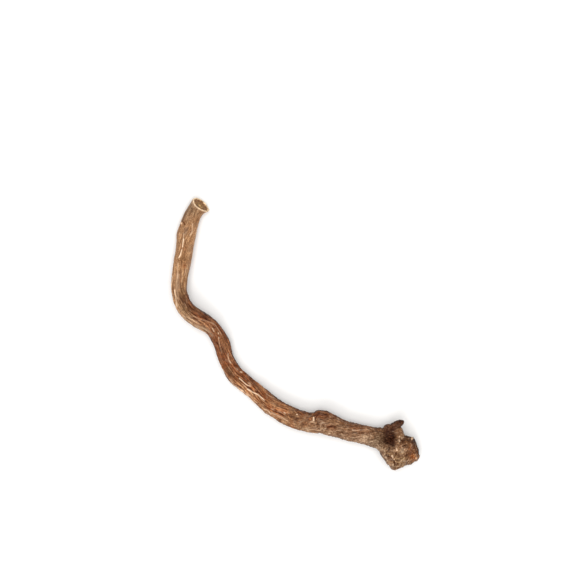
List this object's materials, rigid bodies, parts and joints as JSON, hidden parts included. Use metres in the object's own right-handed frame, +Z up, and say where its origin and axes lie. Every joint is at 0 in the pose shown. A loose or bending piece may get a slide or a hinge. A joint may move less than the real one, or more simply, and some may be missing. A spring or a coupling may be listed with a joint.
{
  "type": "dandelion root",
  "caption": "Dried dandelion taproot, bent in a long S, with a knobbly crown at one end and a slanting cut at the other, lying down.",
  "frame": {"origin": "on the surface, under the middle of the root's outline seen from above", "axes": "+Z up from the surface, +Y from the crown's side towards the cut tail, +X from the tail's side towards the crown"},
  "size_m": [0.0994, 0.109, 0.0121],
  "materials": {
    "root_rind": "matte, finely wrinkled dry rind"
  },
  "bodies": {
    "root": {"dandelion_root": "root_rind"}
  },
  "joints": []
}
